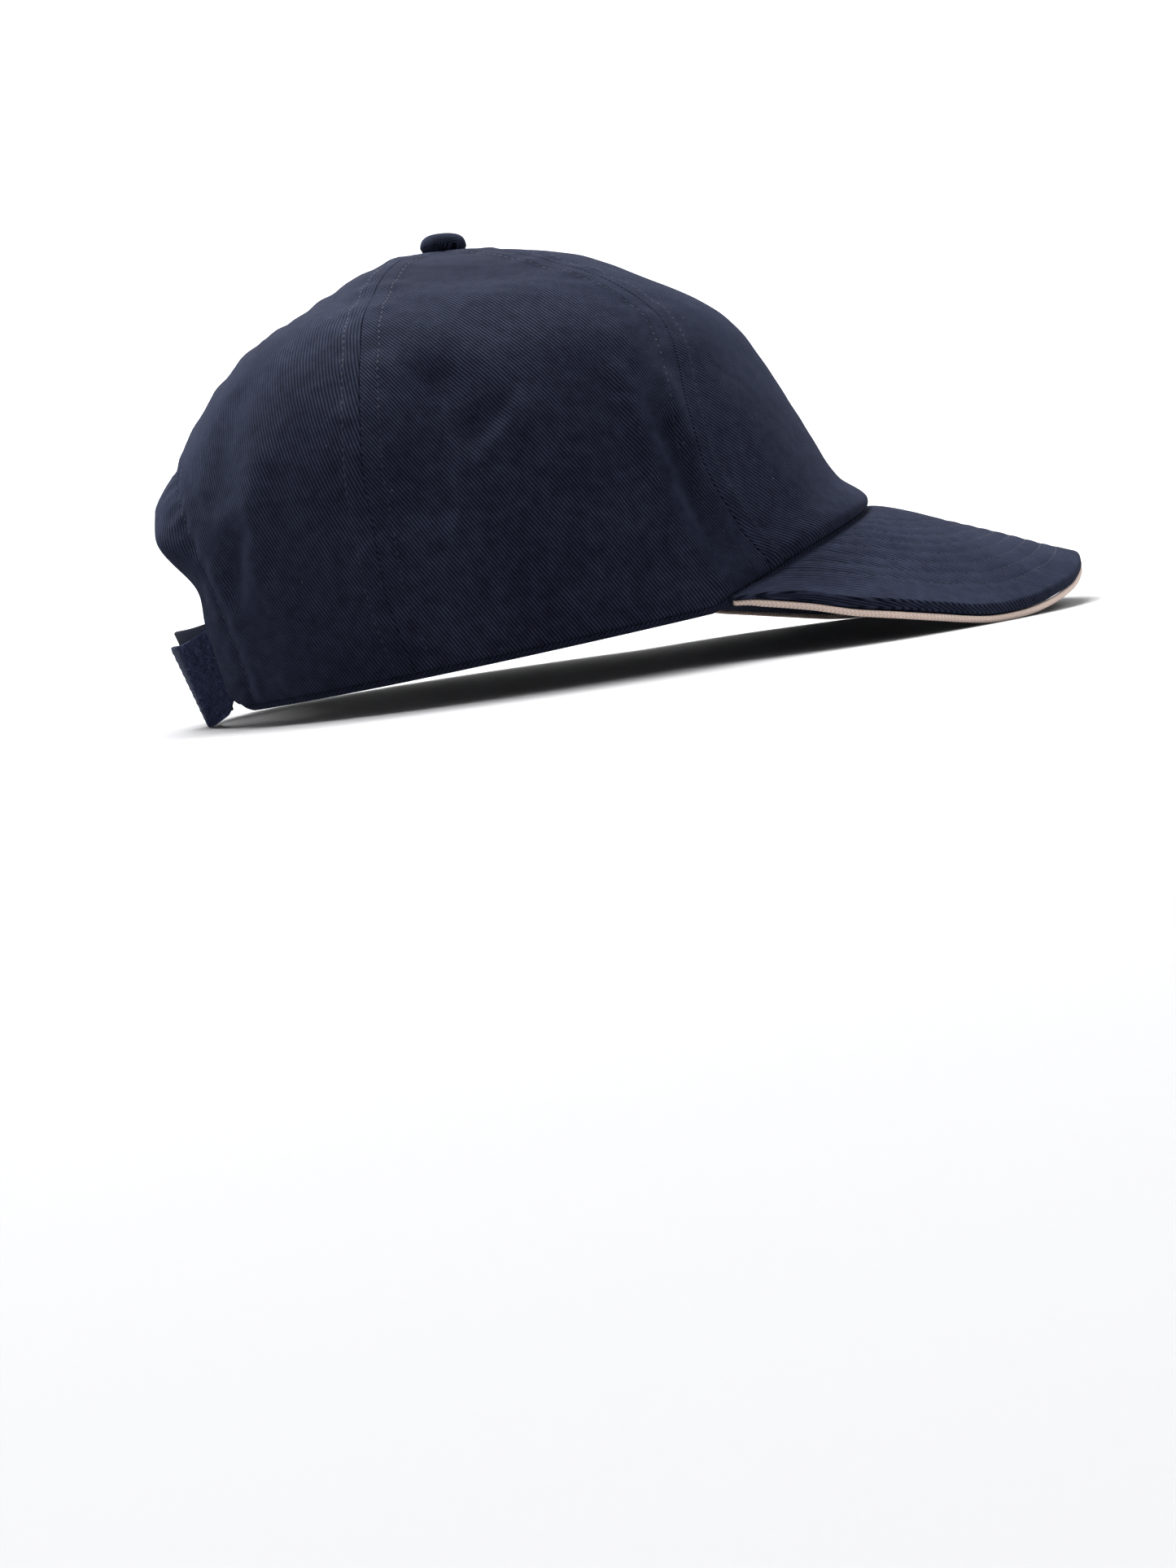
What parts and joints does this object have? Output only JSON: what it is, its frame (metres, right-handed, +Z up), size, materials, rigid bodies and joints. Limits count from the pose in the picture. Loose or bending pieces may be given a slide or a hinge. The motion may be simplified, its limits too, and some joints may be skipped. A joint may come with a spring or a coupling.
{
  "type": "six-panel cap",
  "caption": "Soft cotton cap with sewn panels, covered button, curved peak with piped edge, and a hook-and-loop strap under a back arch.",
  "frame": {"origin": "middle of the cap's box, on the surface it rests on", "axes": "+X towards the peak, +Y towards the wearer's left, +Z up"},
  "size_m": [0.277, 0.1704, 0.135],
  "materials": {
    "navy_twill": "brushed cotton twill, matt, softly washed",
    "navy_band": "plain folded cotton, matt",
    "cream_piping": "corded cotton, matt",
    "loop_pile": "fuzzy loop pile",
    "smooth_tape": "smooth woven tape"
  },
  "bodies": {
    "root": {"panel_front_right": "navy_twill", "panel_front_left": "navy_twill", "panel_side_right": "navy_twill", "panel_side_left": "navy_twill", "panel_back_right": "navy_twill", "panel_back_left": "navy_twill", "button": "navy_twill", "peak_upper": "navy_twill", "peak_lower": "navy_twill", "peak_piping": "cream_piping", "sweatband": "navy_band", "strap_right": "loop_pile", "strap_left": "smooth_tape"}
  },
  "joints": []
}
